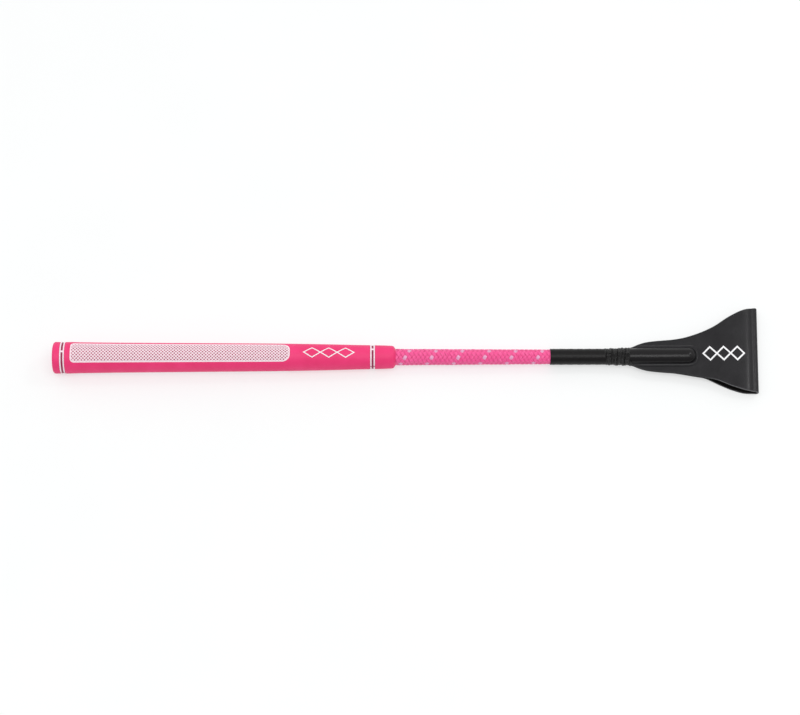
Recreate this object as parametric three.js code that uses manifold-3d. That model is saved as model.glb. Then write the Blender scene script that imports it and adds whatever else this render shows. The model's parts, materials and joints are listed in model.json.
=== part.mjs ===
// A short riding crop, of the kind called a jumping bat, lying flat on a table.
// Its shaft runs along X, from the butt of the rubber grip to the fold of the leather flap.
// Every piece is first placed in the shaft's own frame: X from the butt end, the axis at
// Y = Z = 0. The whole crop is then tipped by lieAngle, so that the butt, the belly of
// the grip and the flap's lower leaf all rest on the table at Z = 0. Lengths are
// millimetres.
import * as THREE from "three";
import { mergeVertices } from "three/addons/utils/BufferGeometryUtils.js";
import Module from "manifold-3d";

const wasm = await Module();
wasm.setup();

// ---- Driving dimensions ------------------------------------------------------------

const gap = 0.2; // clearance between neighbouring pieces
const segments = 48; // facets round a visible turned piece
const hiddenSegments = 24; // facets round a piece that another one covers

// Grip: the outside of the rubber, from butt to fore end
const gripLength = 260;
const buttRadius = 12.0;
const buttRimEnd = 11; // the butt keeps its full radius up to here
const bellyX = 156; // the grip bellies a little, and rests on the table here
const bellyRadius = 10.64;
const ventRadius = 1.2;
const capThickness = 3.6;
const capProfile = [
  [0, ventRadius],
  [0, 7.2],
  [0.5, 9.8],
  [1.1, 11.1],
  [2, 11.8],
  [3, buttRadius],
];
const gripTaper = [
  [buttRimEnd, buttRadius],
  [20, 11.8],
  [46, 11.45],
  [65, 11.28],
  [111, 10.95],
  [bellyX, bellyRadius],
  [187, 10.28],
  [217, 9.68],
  [232, 9.28],
  [248, 9.02],
  [254, 8.82],
  [257.2, 8.44],
];
const mouthProfile = [
  [258.4, 7.7],
  [259.2, 6.8],
  [gripLength, 6.5],
];
const lipLength = 4; // how far the rubber closes round the braid

// Handle former, the tapered core that the grip is pushed over
const formerStart = 8;
const formerEnd = 238;
const formerRadii = [8.8, 6.9];
const tapeThickness = 0.3;

// White panels, let into the top and the underside of the grip
const panelStart = 13.7;
const panelEnd = 179.6;
const panelHalfAngle = THREE.MathUtils.degToRad(42);
const panelRearCorner = 3;
const panelForeCorner = 6.2;
const inlayDepth = 0.8;
const inlaySunk = 0.05; // the inlays lie this far under the rubber's surface

// White ring pairs, each pair joined by one bridge and cut once
const ringWidth = 1.15;
const ringSpacing = 2.5; // between their middles
const bridgeWidth = 1.5;
const cutWidth = 1.1;
const cutAfterBridge = THREE.MathUtils.degToRad(92);
const buttRings = { at: 6.3, bridgeAngle: 0 };
const foreRings = { at: 240.9, bridgeAngle: THREE.MathUtils.degToRad(17.5) };

// Shaft
const rodStart = 20.2;
const rodEnd = 480;
const rodRadii = [4.2, 3.0];
const braidStart = 241;
const braidEnd = 414;
const braidRadii = [6.03, 5.49];
const braidThickness = 1.1;
const bindingStart = 243;
const bindingEnd = 251;
const bindingThickness = 0.45;
const sleeveStart = 377.7;
const sleeveEnd = 418;
const sleeveRadius = 6.15;

// Tip of the shaft, inside the flap's pocket
const tipPaddingStart = 418.4;
const tipPaddingEnd = 475.5;
const tipCapStart = 475.8;
const tipCapEnd = 485.6;
const pocketCoreRadius = 5.15;
const tabCoreRadius = 4.25;

// Flap: one strip of leather, folded over, bound round the shaft at the neck
const leather = 1.3;
const flangeFace = 0.1; // half the glue line between the two pressed layers
const tabStart = 419.5;
const tabRadius = 5.5;
const neckEnd = 447;
const pocketRadius = 6.7;
const noseStart = 481;
const noseEnd = 487.5;
const whippingStart = 418.8;
const whippingEnd = 435;
const whippingBore = 5.85;
const threadPitch = 2.05; // a flattened thread, wound turn beside turn
const threadThickness = 0.6;
const hingeX = 491;
const hingeClearance = 1.15; // lets the loop bend 70 degrees each way
const foldX = 536;
const foldRadius = 2.1; // to the middle of the leather
const foldCentreZ = -2.3;
const foldEase = 0.35; // the leaves spread by this much just before the fold
const leafSplit = 0.3; // between the fold and each leaf
const restPatch = [508, 520]; // where the lower leaf lies flat on the table
const upperCrown = 1.95; // the middle of the upper leaf's leather, above the axis
const flapHalfWidths = [
  [whippingEnd + 0.5, 5.6],
  [440, 7.5],
  [445, 9.5],
  [451, 11.3],
  [457.5, 12.2],
  [464, 12.8],
  [470, 13.3],
  [476, 14.2],
  [488, 17.0],
  [502, 21.5],
  [516, 29.2],
  [527, 33.9],
  [foldX, 35.3],
];
const flapDriftStart = 476; // from here the flap's centre line drifts to +Y
const flapDrift = 5.3;
const foldSkew = 0.046; // the fold lies further along X on its +Y side

// The crop's lean on the table: the butt and the grip's belly touch it
const lieSlope = (buttRadius - bellyRadius) / (bellyX - buttRimEnd);
const lieAngle = Math.atan(lieSlope);
const tableZ = (x) => -buttRadius + (x - buttRimEnd) * lieSlope;

// ---- Materials ---------------------------------------------------------------------

const finish = (color, roughness, metalness = 0) =>
  new THREE.MeshStandardMaterial({ color, roughness, metalness });
const materials = {
  gripRubber: finish(0xe4467a, 0.55),
  whiteInlay: finish(0xf5e9ee, 0.5),
  braidNylon: finish(0xe96a9e, 0.6),
  padding: finish(0xe8e2d8, 0.9),
  fibreglass: finish(0xd8d2b8, 0.35),
  former: finish(0x3a3a3c, 0.6),
  tape: finish(0xd9c79a, 0.7),
  plug: finish(0x2a2a2c, 0.6),
  sleeve: finish(0x252325, 0.25),
  thread: finish(0x1c1b1c, 0.5),
  leather: finish(0x343335, 0.45),
  tipCap: finish(0xb9bbbd, 0.35, 0.9),
};

// ---- Shape helpers -----------------------------------------------------------------

// Straight lines between [x, value] points.
function along(points, x) {
  const next = points.findIndex(([px]) => px >= x);
  if (next < 0) return points.at(-1)[1];
  if (next === 0) return points[0][1];
  const [[x0, v0], [x1, v1]] = [points[next - 1], points[next]];
  return THREE.MathUtils.mapLinear(x, x0, x1, v0, v1);
}

const gripRadius = (x) => along(gripTaper, x);
const formerRadius = (x) => THREE.MathUtils.mapLinear(x, formerStart, formerEnd, ...formerRadii);
const rodRadius = (x) => THREE.MathUtils.mapLinear(x, rodStart, rodEnd, ...rodRadii);
const braidRadius = (x) => THREE.MathUtils.mapLinear(x, braidStart, braidEnd, ...braidRadii);
const tapeOuter = (x) => formerRadius(x) + gap / 2 + tapeThickness;

// A piece turned about the shaft. The profile holds [x, radius] points: out along the
// outside towards +X, and back along the bore or the axis.
function turned(profile, count = segments) {
  const points = profile.map(([x, radius]) => new THREE.Vector2(radius, x));
  const closed = profile[0][1] > 0;
  if (closed) points.push(points[0].clone());
  return new THREE.LatheGeometry(points, count).rotateZ(-Math.PI / 2);
}

// A tube between two stations, with an outer and an inner radius at each.
function tube(x0, x1, outer, inner, count = segments) {
  return turned([[x0, outer(x0)], [x1, outer(x1)], [x1, inner(x1)], [x0, inner(x0)]], count);
}

// A closed skin over a row of cross-sections, each a ring of the same number of points.
// The rings turn anticlockwise seen from the far end. Each end is closed by a strip
// between the first half of the ring and the second half, so a section is a bent slab.
function lofted(sections) {
  const count = sections[0].length;
  const faces = [];
  const quad = (a, b, c, d) => faces.push(a, b, c, a, c, d);
  const at = (s, i) => s * count + (i % count);
  for (let s = 0; s + 1 < sections.length; s++)
    for (let i = 0; i < count; i++) quad(at(s, i), at(s, i + 1), at(s + 1, i + 1), at(s + 1, i));
  const last = sections.length - 1;
  for (let i = 0; i + 1 < count / 2; i++) {
    const opposite = count - 1 - i;
    quad(at(0, i), at(0, opposite), at(0, opposite - 1), at(0, i + 1));
    quad(at(last, i), at(last, i + 1), at(last, opposite - 1), at(last, opposite));
  }
  const geometry = new THREE.BufferGeometry();
  const positions = sections.flat().flatMap((p) => [p.x, p.y, p.z]);
  geometry.setAttribute("position", new THREE.Float32BufferAttribute(positions, 3));
  return geometry.setIndex(faces);
}

// Between a three.js geometry and a manifold solid, for cutting and joining.
function solid(geometry) {
  const bare = geometry.clone();
  bare.deleteAttribute("normal");
  bare.deleteAttribute("uv");
  const merged = mergeVertices(bare, 1e-3);
  return new wasm.Manifold(
    new wasm.Mesh({
      numProp: 3,
      vertProperties: merged.attributes.position.array,
      triVerts: new Uint32Array(merged.index.array),
    }),
  );
}

function geometryOf(manifold) {
  const mesh = manifold.getMesh();
  const geometry = new THREE.BufferGeometry();
  geometry.setAttribute("position", new THREE.BufferAttribute(mesh.vertProperties, 3));
  return geometry.setIndex(new THREE.BufferAttribute(mesh.triVerts, 1));
}

const crop = new THREE.Group();

function add(name, geometry, material) {
  const shaded = geometry.index ? geometry.toNonIndexed() : geometry;
  shaded.computeVertexNormals();
  const mesh = new THREE.Mesh(shaded, material);
  mesh.name = name;
  crop.add(mesh);
}

// ---- Core of the handle ------------------------------------------------------------

function addCore() {
  const rodRound = 0.8;
  add(
    "fibreglass_rod",
    turned(
      [
        [rodStart, 0],
        [rodStart, rodRadii[0] - rodRound],
        [rodStart + rodRound, rodRadii[0]],
        [rodEnd - rodRound, rodRadii[1]],
        [rodEnd, rodRadii[1] - rodRound],
        [rodEnd, 0],
      ],
      hiddenSegments,
    ),
    materials.fibreglass,
  );

  const formerBore = (x) => rodRadius(Math.max(x, rodStart)) + gap;
  add(
    "handle_former",
    tube(formerStart, formerEnd, formerRadius, formerBore, hiddenSegments),
    materials.former,
  );

  const plugHeadRadius = formerRadius(formerStart);
  const plugHeadStart = capThickness + gap;
  add(
    "butt_plug",
    turned(
      [
        [plugHeadStart, 0],
        [plugHeadStart, plugHeadRadius - 1],
        [plugHeadStart + 1, plugHeadRadius],
        [formerStart - gap, plugHeadRadius],
        [formerStart - gap, rodRadii[0]],
        [rodStart - gap - 1, rodRadii[0]],
        [rodStart - gap, rodRadii[0] - 1],
        [rodStart - gap, 0],
      ],
      hiddenSegments,
    ),
    materials.plug,
  );

  add(
    "grip_tape",
    tube(
      formerStart + 1,
      formerEnd - 1,
      tapeOuter,
      (x) => tapeOuter(x) - tapeThickness,
      hiddenSegments,
    ),
    materials.tape,
  );
}

// ---- Rubber grip and its white inlays ----------------------------------------------

// A patch that follows the grip's surface between two radial offsets from it, centred on
// the top line. Its corners are rounded; grow widens it on every side.
function panelPatch(low, high, grow) {
  const start = panelStart - grow;
  const end = panelEnd + grow;
  const cornerSteps = 4;
  const across = 10;
  const rounded = (distance, radius) =>
    distance >= radius ? 0 : radius - Math.sqrt(radius ** 2 - (radius - distance) ** 2);
  const stations = gripTaper.map(([x]) => x).filter((x) => x > start + 7 && x < end - 7);
  for (let i = 0; i <= cornerSteps; i++) {
    const share = 1 - Math.cos(((i / cornerSteps) * Math.PI) / 2);
    stations.push(start + share * panelRearCorner, end - share * panelForeCorner);
  }
  stations.sort((a, b) => a - b);
  return lofted(
    stations.map((x) => {
      const inset = rounded(x - start, panelRearCorner) + rounded(end - x, panelForeCorner);
      const half = panelHalfAngle + (grow - inset) / gripRadius(x);
      const arc = (offset, from, to) =>
        Array.from({ length: across + 1 }, (_, i) => {
          const angle = THREE.MathUtils.lerp(from, to, i / across);
          const radius = gripRadius(x) + offset;
          return new THREE.Vector3(x, radius * Math.sin(angle), radius * Math.cos(angle));
        });
      return [...arc(high, half, -half), ...arc(low, -half, half)];
    }),
  );
}

// A ring pair in one piece: two rings, a bridge between them and a cut through both.
// The angles run from the top towards +Y for positive values.
function ringPair({ at, bridgeAngle }) {
  const outer = gripRadius(at) - inlaySunk;
  const inner = outer - inlayDepth;
  const ring = (x) =>
    solid(tube(x - ringWidth / 2, x + ringWidth / 2, () => outer, () => inner));
  const block = (length, width, angle) =>
    solid(
      new THREE.BoxGeometry(length, width, 2 * outer)
        .translate(at + ringSpacing / 2, 0, outer)
        .rotateX(-angle),
    );
  const span = solid(
    tube(at, at + ringSpacing, () => outer, () => inner),
  );
  const bridge = span.intersect(block(ringSpacing, bridgeWidth, bridgeAngle));
  const cut = block(3 * ringSpacing, cutWidth, bridgeAngle - cutAfterBridge);
  return ring(at).add(ring(at + ringSpacing)).add(bridge).subtract(cut);
}

function ringChannel({ at }) {
  const outer = gripRadius(at) + 1;
  const inner = gripRadius(at) - inlaySunk - inlayDepth - gap;
  const reach = ringWidth / 2 + gap;
  return solid(tube(at - reach, at + ringSpacing + reach, () => outer, () => inner));
}

function addGrip() {
  const bore = (x) => tapeOuter(x) + gap / 2;
  const bindingBore = braidRadii[0] + bindingThickness + 2 * gap;
  const lipBore = braidRadius(gripLength) + gap;
  const shell = solid(
    turned([
      ...capProfile,
      ...gripTaper,
      ...mouthProfile,
      [gripLength, lipBore],
      [gripLength - lipLength, lipBore],
      [gripLength - lipLength - 1, bindingBore],
      [formerEnd + 1, bindingBore],
      [formerEnd + 0.5, bore(formerEnd)],
      [capThickness, bore(formerStart)],
      [capThickness, ventRadius],
    ]),
  );
  const recess = () => panelPatch(-inlaySunk - inlayDepth - gap, 1, gap);
  const grip = shell
    .subtract(solid(recess()))
    .subtract(solid(recess().rotateX(Math.PI)))
    .subtract(ringChannel(buttRings))
    .subtract(ringChannel(foreRings));
  add("rubber_grip", geometryOf(grip), materials.gripRubber);

  const panel = () => panelPatch(-inlaySunk - inlayDepth, -inlaySunk, 0);
  add("grip_panel_top", panel(), materials.whiteInlay);
  add("grip_panel_under", panel().rotateX(Math.PI), materials.whiteInlay);
  add("butt_ring_pair", geometryOf(ringPair(buttRings)), materials.whiteInlay);
  add("fore_ring_pair", geometryOf(ringPair(foreRings)), materials.whiteInlay);
}

// ---- Braided shaft and black sleeve ------------------------------------------------

function addShaft() {
  const braidBore = (x) => braidRadius(x) - braidThickness;
  const overRod = (x) => rodRadius(x) + gap / 2;
  add(
    "shaft_padding",
    tube(braidStart, braidEnd, (x) => braidBore(x) - gap / 2, overRod, hiddenSegments),
    materials.padding,
  );
  add("braided_cover", tube(braidStart, braidEnd, braidRadius, braidBore), materials.braidNylon);
  add(
    "rear_braid_binding",
    tube(
      bindingStart,
      bindingEnd,
      (x) => braidRadius(x) + gap + bindingThickness,
      (x) => braidRadius(x) + gap,
    ),
    materials.thread,
  );
  add(
    "shrink_sleeve",
    turned([
      [sleeveStart, sleeveRadius - 0.15],
      [sleeveStart + 0.4, sleeveRadius],
      [sleeveEnd - 0.4, sleeveRadius],
      [sleeveEnd, sleeveRadius - 0.15],
      [sleeveEnd, braidRadius(sleeveStart) + gap / 2],
      [sleeveStart, braidRadius(sleeveStart) + gap / 2],
    ]),
    materials.sleeve,
  );
}

// ---- Tip of the shaft --------------------------------------------------------------

function addTip() {
  add(
    "tip_padding",
    turned(
      [
        [tipPaddingStart, tabCoreRadius],
        [whippingEnd + 1, tabCoreRadius],
        [neckEnd, pocketCoreRadius],
        [tipPaddingEnd, pocketCoreRadius],
        [tipPaddingEnd, rodRadius(tipPaddingEnd) + gap],
        [tipPaddingStart, rodRadius(tipPaddingStart) + gap],
      ],
      hiddenSegments,
    ),
    materials.padding,
  );
  const capBore = rodRadius(tipCapStart) + gap;
  add(
    "tip_cap",
    turned(
      [
        [tipCapStart, pocketCoreRadius],
        [noseStart, pocketCoreRadius],
        [noseStart + 2.4, pocketCoreRadius - 0.9],
        [tipCapEnd - 0.6, 2.6],
        [tipCapEnd, 1.2],
        [tipCapEnd, 0],
        [rodEnd + gap, 0],
        [rodEnd + gap, capBore],
        [tipCapStart, capBore],
      ],
      hiddenSegments,
    ),
    materials.tipCap,
  );
}

// The thread lies turn beside turn, so its outside is a row of round ridges.
function addWhipping() {
  const turns = Math.round((whippingEnd - whippingStart) / threadPitch);
  const pitch = (whippingEnd - whippingStart) / turns;
  const ridge = [[0, 0.5], [0.2, 0.9], [0.5, 1], [0.8, 0.9]]; // shares of pitch and thickness
  const profile = [];
  for (let i = 0; i < turns; i++)
    for (const [across, up] of ridge)
      profile.push([whippingStart + (i + across) * pitch, whippingBore + up * threadThickness]);
  profile.push([whippingEnd, whippingBore + threadThickness / 2]);
  profile.push([whippingEnd, whippingBore], [whippingStart, whippingBore]);
  add("neck_whipping", turned(profile, hiddenSegments), materials.thread);
}

// ---- Leather flap ------------------------------------------------------------------

const flapOutline = new THREE.SplineCurve(
  flapHalfWidths.map(([x, half]) => new THREE.Vector2(x, half)),
);
const outlinePoints = flapOutline.getPoints(80).map((p) => [p.x, p.y]);
const halfWidth = (x) => along(outlinePoints, x);
const drift = (x) => flapDrift * THREE.MathUtils.smoothstep(x, flapDriftStart, foldX);

// The half of the leather that closes round the shaft from above (side 1) or from below
// (side -1): a half pipe with a flat flange on each side, and a rounded nose at the tip.
function pocketHalf(side) {
  const pipeSteps = 12;
  const flangeSteps = 2;
  const stations = [tabStart, whippingEnd, 438, 441, 444, neckEnd, 453, 460, 467, 474, noseStart];
  const noseSteps = 5;
  for (let i = 1; i <= noseSteps; i++)
    stations.push(noseStart + (noseEnd - noseStart) * Math.sin(((i / noseSteps) * Math.PI) / 2));
  stations.push(hingeX - hingeClearance);
  return lofted(
    stations.map((x) => {
      const spread = THREE.MathUtils.smoothstep(x, whippingEnd, neckEnd);
      const outer = THREE.MathUtils.lerp(tabRadius, pocketRadius, spread);
      const thickness = THREE.MathUtils.lerp(tabRadius - tabCoreRadius - gap, leather, spread);
      const noseShare = THREE.MathUtils.clamp((x - noseStart) / (noseEnd - noseStart), 0, 1);
      const rise = Math.sqrt(1 - noseShare ** 2); // 1 over the shaft, 0 past its tip
      const edge = Math.max(halfWidth(x), outer + 0.15);
      const surface = (radius, flange) => {
        const reach = radius * THREE.MathUtils.lerp(0.55, 1, rise);
        const root = Math.asin(Math.min(1, flange / radius));
        const points = [];
        for (let i = 0; i < flangeSteps; i++) {
          const y = THREE.MathUtils.lerp(-edge, -reach * Math.cos(root), i / flangeSteps);
          points.push([y, flange]);
        }
        for (let i = 0; i <= pipeSteps; i++) {
          const angle = THREE.MathUtils.lerp(Math.PI - root, root, i / pipeSteps);
          const height = flange + (radius * Math.sin(angle) - flange) * rise;
          points.push([reach * Math.cos(angle), height]);
        }
        for (let i = 1; i <= flangeSteps; i++) {
          const y = THREE.MathUtils.lerp(reach * Math.cos(root), edge, i / flangeSteps);
          points.push([y, flange]);
        }
        return points.map(([y, z]) => new THREE.Vector3(x, side * y + drift(x), side * z));
      };
      const outside = surface(outer, flangeFace + thickness);
      const inside = surface(outer - thickness, flangeFace);
      return [...outside.reverse(), ...inside];
    }),
  );
}

// A stretch of the strip swept along a side-view path: each point of the path is the
// middle of the leather, and the strip reaches to the flap's outline on both sides.
function leaf(points) {
  const half = leather / 2;
  return lofted(
    points.map((p, i) => {
      const before = points[Math.max(i - 1, 0)];
      const after = points[Math.min(i + 1, points.length - 1)];
      const tangent = after.clone().sub(before).normalize();
      const corner = (side, offset) => {
        const x = p.x - tangent.y * offset;
        const z = p.y + tangent.x * offset;
        const y = side * halfWidth(Math.min(p.x, foldX)) + drift(Math.min(p.x, foldX));
        const skew = foldSkew * y * THREE.MathUtils.smoothstep(x, hingeX, foldX);
        return new THREE.Vector3(x + skew, y, z);
      };
      return [corner(1, half), corner(-1, half), corner(-1, -half), corner(1, -half)];
    }),
  );
}

function addFlap() {
  add("flap_pocket_upper", pocketHalf(1), materials.leather);
  add("flap_pocket_lower", pocketHalf(-1), materials.leather);

  const start = hingeX + hingeClearance;
  const pressed = flangeFace + leather / 2;
  const foldCentreX = foldX - foldRadius - leather / 2;
  const leafEnd = foldCentreX - 2.2;
  const foldTopZ = foldCentreZ + foldRadius;
  const foldBottomZ = foldCentreZ - foldRadius;
  const upperEndZ = foldTopZ + foldEase;
  const lowerEndZ = foldBottomZ - foldEase;
  const restZ = (x) => tableZ(x) + leather / 2;

  const upper = new THREE.Path()
    .moveTo(start, pressed)
    .bezierCurveTo(start + 6, pressed, 505, upperCrown, 515, upperCrown)
    .bezierCurveTo(522, upperCrown, leafEnd - 4, upperEndZ + 0.9, leafEnd, upperEndZ);
  const lower = new THREE.Path()
    .moveTo(start, -pressed)
    .bezierCurveTo(start + 5, -pressed, 502, restZ(502), restPatch[0], restZ(restPatch[0]))
    .lineTo(restPatch[1], restZ(restPatch[1]))
    .bezierCurveTo(523, restZ(523), leafEnd - 3, lowerEndZ - 0.8, leafEnd, lowerEndZ);
  const fold = new THREE.Path()
    .moveTo(leafEnd + leafSplit, upperEndZ - 0.1)
    .lineTo(foldCentreX, foldTopZ)
    .absarc(foldCentreX, foldCentreZ, foldRadius, Math.PI / 2, -Math.PI / 2, true)
    .lineTo(leafEnd + leafSplit, lowerEndZ + 0.1);

  add("flap_upper_leaf", leaf(upper.getPoints(10)), materials.leather);
  add("flap_fold", leaf(fold.getPoints(8)), materials.leather);
  add("flap_lower_leaf", leaf(lower.getPoints(8)), materials.leather);
}

// ---- The whole crop, laid on the table ----------------------------------------------

addCore();
addGrip();
addShaft();
addTip();
addWhipping();
addFlap();

crop.rotation.y = lieAngle;
const ridingCrop = new THREE.Group();
ridingCrop.add(crop);
const box = new THREE.Box3().setFromObject(ridingCrop, true);
const middle = box.getCenter(new THREE.Vector3());
crop.position.set(-middle.x, -middle.y, -box.min.z);

export default ridingCrop;
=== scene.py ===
"""The looks of a short riding crop lying on a white table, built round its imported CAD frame.

Every shape is made in the shaft's own frame, in millimetres: X along the shaft from the
butt end, Z up, the axis at Y = Z = 0. carry() takes it into the row frame, in metres.
"""

import json
import math

import bpy
import numpy as np
from mathutils import Matrix, Vector


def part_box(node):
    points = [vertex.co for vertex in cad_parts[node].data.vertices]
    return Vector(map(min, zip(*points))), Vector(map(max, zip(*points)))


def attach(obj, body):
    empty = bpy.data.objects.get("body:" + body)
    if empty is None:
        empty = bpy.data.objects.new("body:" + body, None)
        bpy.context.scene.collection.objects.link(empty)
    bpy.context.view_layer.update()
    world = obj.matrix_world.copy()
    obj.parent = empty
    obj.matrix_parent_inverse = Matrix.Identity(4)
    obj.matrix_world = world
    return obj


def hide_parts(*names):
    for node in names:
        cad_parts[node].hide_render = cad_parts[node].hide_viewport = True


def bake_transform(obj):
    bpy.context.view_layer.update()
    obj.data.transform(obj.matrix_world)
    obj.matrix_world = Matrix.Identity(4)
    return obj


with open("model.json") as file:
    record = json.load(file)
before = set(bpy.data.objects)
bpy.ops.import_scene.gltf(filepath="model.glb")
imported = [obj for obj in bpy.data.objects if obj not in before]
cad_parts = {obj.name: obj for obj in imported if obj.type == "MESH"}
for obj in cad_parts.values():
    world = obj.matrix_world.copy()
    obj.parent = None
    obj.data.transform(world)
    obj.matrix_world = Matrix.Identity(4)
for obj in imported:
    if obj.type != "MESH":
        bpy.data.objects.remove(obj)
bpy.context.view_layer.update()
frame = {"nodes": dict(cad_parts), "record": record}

# ---- The shaft's frame, from the record's butt mount ----

MM = 0.001
BUTT_MOUNT_OFF_AXIS = 4  # the mount's point lies this far above the axis

butt_mount = next(m for m in frame["record"]["mounts"] if m["name"] == "butt_end")
shaft_axis = -Vector(butt_mount["axis"]).normalized()
shaft_up = Vector((-shaft_axis.z, 0, shaft_axis.x))
butt_centre = Vector(butt_mount["pos_m"]) - shaft_up * BUTT_MOUNT_OFF_AXIS * MM
shaft_to_row = np.array([shaft_axis, (0, 1, 0), shaft_up]) * MM


def carry(points):
    """Points of the shaft's frame, in millimetres, as points of the row frame, in metres."""
    return np.asarray(points, float) @ shaft_to_row + np.array(butt_centre)


def span(node):
    """Where a CAD node starts and ends along the shaft, in millimetres."""
    low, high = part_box(node)
    return tuple((c.x - butt_centre.x) / shaft_axis.x / MM for c in (low, high))


# ---- Driving sizes, in millimetres ----

GRIP_TAPER = [  # outside of the rubber: station, radius
    (3, 12.0), (11, 12.0), (20, 11.8), (46, 11.45), (65, 11.28), (111, 10.95),
    (156, 10.64), (187, 10.28), (217, 9.68), (232, 9.28), (248, 9.02), (254, 8.82),
]
GRIP_STATIONS = (4, 253.5)  # its outside has points every millimetre between these
GRIP_END = 260
GRIP_TURN = 240  # facets round the grip
BUTT_FACE = [(1.0, 1.2), (0.3, 1.25), (0.05, 1.5), (0.0, 2.2), (0.0, 7.2), (0.02, 8.6)]
BUTT_ROUND = {"radius": 2.1, "from": 10.0}  # the corner between butt and side
GRIP_MOUTH = [  # the lip over the braid, then the bore back to the vent in the butt
    (255.2, 8.76), (256.5, 8.66), (257.4, 8.54), (258.0, 8.32), (258.4, 7.95), (258.8, 7.4),
    (259.2, 6.8), (259.5, 6.42), (259.6, 6.26), (259.4, 6.16), (256, 6.12), (255, 6.9),
    (239, 6.9), (238, 7.45), (3.6, 9.3), (3.6, 1.2),
]
MOULD_LINE = {"height": 0.07, "width": 0.3}  # down each side
SUNK_BELOW = 0.24  # rubber further under the surface than this is painted darker: painted shade in the channels and recesses

PANEL = {"start": 13.7, "end": 179.6, "half": math.radians(42), "rear": 3.0, "fore": 6.2}
NET_PITCH = 2.5  # from one pit to the next along a row
NET_HOLE = 0.58  # share of a cell that is hole
NET_DEPTH = 0.6
NET_MARGIN = 0.35  # the net stops this far inside the panel's outline, under the border
BORDER_WIDTH = 1.05
INLAY_TINT = 0.15  # how much of the pink shows through the thin white lines
PANEL_RADIUS = 11.25  # the grip's mean radius under the panel
RECESS_SPARE = 0.25  # the recess is this much deeper than the net

RING_WIDTH = 1.05
RING_DEPTH = 0.35
RING_SPACING = 2.5
CHANNEL_PLAY = 0.1  # between a ring and its channel's wall
BRIDGE_WIDTH = 1.5
CUT_WIDTH = 1.1
CUT_AFTER_BRIDGE = math.radians(92)
RING_PAIRS = {
    "butt_ring_pair": (6.3, 0.0),
    "fore_ring_pair": (240.9, math.radians(17.5)),
}

BRAID_PITCH = 20.2
BRAID_STRANDS = 6  # each way
BRAID_WAYS = {  # turning towards +Y and towards -Y: strand width, how far it stands proud
    1: (2.55, -0.1),
    -1: (2.9, 0.1),
}
TRACER = (2.65, 0.03)  # the same of the tracer strand
GAP_SHADE_DEPTH = 1.27  # how far in the sheet of painted shade lies: where the strands' undersides close up
BRAID_RADII = (6.2, 5.52)  # at the grip's mouth and at the sleeve
STRAND_THICKNESS = 0.85
STRAND_WAVE = 0.4
TRACER_AT = (266.7, math.radians(-28))  # a place where the tracer strand lies on top
STRAND_STRETCH = 2.06  # strand for each millimetre of shaft
STRAND_SEED = 40
STRAND_SLACK = {"every": 1.7, "turn": 0.02, "lift": 0.05}  # its small unevenness

SLEEVE_RADIUS = 6.13
WHIPPING = (418.9, 438.6)
WHIPPING_SWELL = [(418.9, 0.0), (424, 0.05), (430, 0.25), (435, 0.45), (438.6, 0.9)]
THREAD_PITCH = 2.0
THREAD_WIDTH = 1.95
THREAD_THICKNESS = 1.0
THREAD_BORE = 5.35
THREAD_LAYERS = [  # first turn, last turn, lift, advance for each turn
    (WHIPPING[0], WHIPPING[1], 0.0, THREAD_PITCH),
    (WHIPPING[1] - 2.5, WHIPPING[0] + 1.5, 0.2, -THREAD_PITCH * 2.6),
    (WHIPPING[0] + 3, WHIPPING[1] - 5, 0.35, THREAD_PITCH * 4.3),
]
THREAD_WOBBLE = {"along": 0.25, "out": 0.16}
THREAD_SEED = 7
THREAD_END = (419.6, 423.4, math.radians(-14))  # a loose end laid along the shaft

LEATHER = 1.3
GLUE_HALF = 0.1
TAB_RADIUS = 5.5
POCKET_RADIUS = 6.7
POCKET_NOSE = (481.5, 488.7)
NOSE_SQUARENESS = 2.6  # 2 would make it an ellipse
TAB_LEATHER = 1.05  # its thickness where the thread squeezes it
PRESSED_LINE = {"off": 1.2, "width": 0.6, "depth": 0.32}  # round the bulge
NECK = (435, 447)
NECK_SWELL = 0.85
GATHER = {"height": 0.35, "waves": 1.9, "fade": 5}  # the leather's pleats beside the thread
HINGE = 491
FOLD_X = 536
FOLD_RADIUS = 2.1
FOLD_CENTRE_Z = -2.3
UPPER_CROWN = {"from": 517, "to": 527, "height": 1.6}  # the upper leaf is nearly level here
REST_PATCH = (508, 520)
REST_EASE = (502, 523)  # the lower leaf settles on the table and leaves it between these
WARP_HEIGHT = 0.2  # of the upper leaf; the lower one lies flat on the table
WARP_ZONE = (496, 508, 514, 525)  # it grows between the first two and fades between the last
FLAP_HALF_WIDTHS = [
    (435, 5.6), (437, 6.3), (440, 7.25), (445, 9.5), (451, 11.3), (457.5, 12.2),
    (464, 12.8), (470, 13.3), (476, 14.2), (488, 17.0), (502, 21.5), (516, 29.2),
    (527, 33.6), (536, 35.0),
]
FLAP_DRIFT = 5.7
FLAP_DRIFT_START = 476
FOLD_SKEW = 0.046


# ---- Curves and meshes ----


def smooth_curve(points):
    """A function through [x, y] points with no overshoot (monotone cubic)."""
    x, y = np.array(points, float).T
    step = np.diff(x)
    slope = np.diff(y) / step
    a, b = slope[:-1], slope[1:]
    inner = np.where(a * b > 0, 2 * a * b / np.where(a + b == 0, 1, a + b), 0)
    tangent = np.concatenate([[slope[0]], inner, [slope[-1]]])

    def at(value):
        value = np.clip(value, x[0], x[-1])
        i = np.clip(np.searchsorted(x, value, side="right") - 1, 0, len(step) - 1)
        t = (value - x[i]) / step[i]
        rise = y[i] * (1 + 2 * t) * (1 - t) ** 2 + y[i + 1] * t**2 * (3 - 2 * t)
        return rise + step[i] * (tangent[i] * t * (1 - t) ** 2 - tangent[i + 1] * t**2 * (1 - t))

    return at


def smoothstep(value, low, high):
    t = np.clip((np.asarray(value, float) - low) / (high - low), 0, 1)
    return t * t * (3 - 2 * t)


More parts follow.
